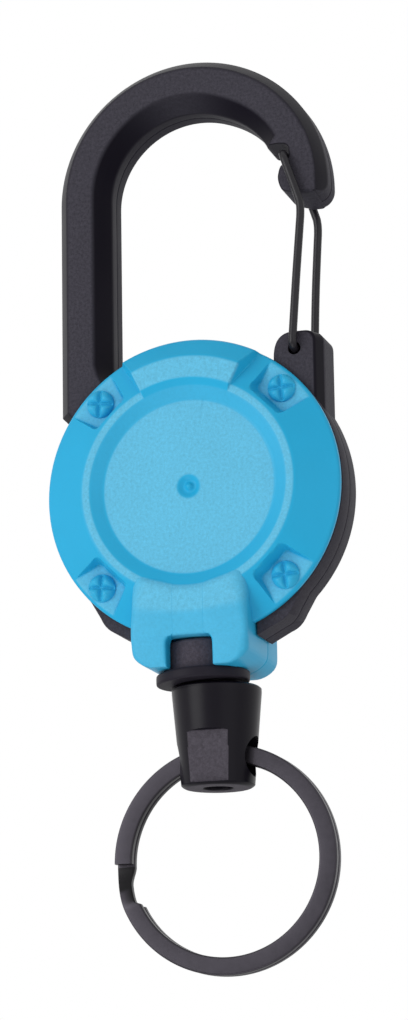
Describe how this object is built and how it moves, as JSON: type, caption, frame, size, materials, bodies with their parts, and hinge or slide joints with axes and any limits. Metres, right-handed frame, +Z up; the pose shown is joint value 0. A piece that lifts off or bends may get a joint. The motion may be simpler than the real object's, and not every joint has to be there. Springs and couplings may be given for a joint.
{
  "type": "retractable key reel",
  "caption": "Retractable key reel hanging from a carabiner frame with a wire gate; a spring-wound cord ends in a docking plug, swivel barrel and split ring.",
  "frame": {"origin": "crown inside the carabiner's hook, on the middle plane of its frame, where it hangs from a belt loop or a ring", "axes": "+Z up along the hanging part, +X to the right as seen from the front, -Y out of the front face"},
  "size_m": [0.0426, 0.0163, 0.1311],
  "materials": {
    "sky_blue_abs": "fine moulded texture on the flats, smooth slopes",
    "black_nylon": "fine moulded texture on the flats, smooth bevels",
    "black_plug_nylon": "matte",
    "coated_wire": "satin black coating on spring wire",
    "gunmetal_steel": "dark satin",
    "zinc_steel": "satin",
    "spring_steel": "polished strip",
    "white_acetal": "smooth",
    "braided_cord": "fine black braid"
  },
  "bodies": {
    "housing": {"carabiner_frame": "black_nylon", "front_cover": "sky_blue_abs", "rear_cover": "sky_blue_abs", "cover_screw_1": "zinc_steel", "cover_screw_2": "zinc_steel", "cover_screw_3": "zinc_steel", "cover_screw_4": "zinc_steel", "spool_axle": "zinc_steel", "thrust_washer": "white_acetal", "spring_plate": "zinc_steel", "power_spring": "spring_steel", "cord_lead": "braided_cord"},
    "gate": {"wire_gate": "coated_wire"},
    "reel": {"spool": "white_acetal", "wound_cord": "braided_cord"},
    "key_end": {"dock_plug": "black_plug_nylon", "cord_end": "braided_cord", "cord_ferrule": "zinc_steel"},
    "barrel": {"swivel_barrel": "black_nylon"},
    "ring": {"split_ring": "gunmetal_steel"}
  },
  "joints": [
    {"name": "gate_swing", "type": "hinge", "parent": "housing", "child": "gate", "pos_m": [0.015, 0, -0.0366], "axis": [0, -1, 0], "range_deg": [0, 28], "stiffness_Nm_per_rad": 0.02, "springref_deg": -34.38},
    {"name": "key_pull", "type": "slide", "parent": "housing", "child": "key_end", "axis": [0, 0, -1], "range_m": [0, 0.55], "stiffness_N_per_m": 2, "springref_m": -0.5},
    {"name": "spool_spin", "type": "hinge", "parent": "housing", "child": "reel", "pos_m": [0, 0, -0.0558], "axis": [0, 1, 0], "range_deg": [0, 2520], "deforming": ["wound_cord", "power_spring"]},
    {"name": "barrel_swivel", "type": "hinge", "parent": "key_end", "child": "barrel", "pos_m": [0.0014, 0.0008, -0.0928], "axis": [0, 0, 1], "continuous": true},
    {"name": "ring_swing", "type": "hinge", "parent": "barrel", "child": "ring", "pos_m": [0.0014, 0.0008, -0.0928], "axis": [1, 0, 0], "range_deg": [-95, 95]}
  ],
  "couplings": [
    {"joint": "spool_spin", "follows": "key_pull", "rad_per_m": 78.6}
  ]
}
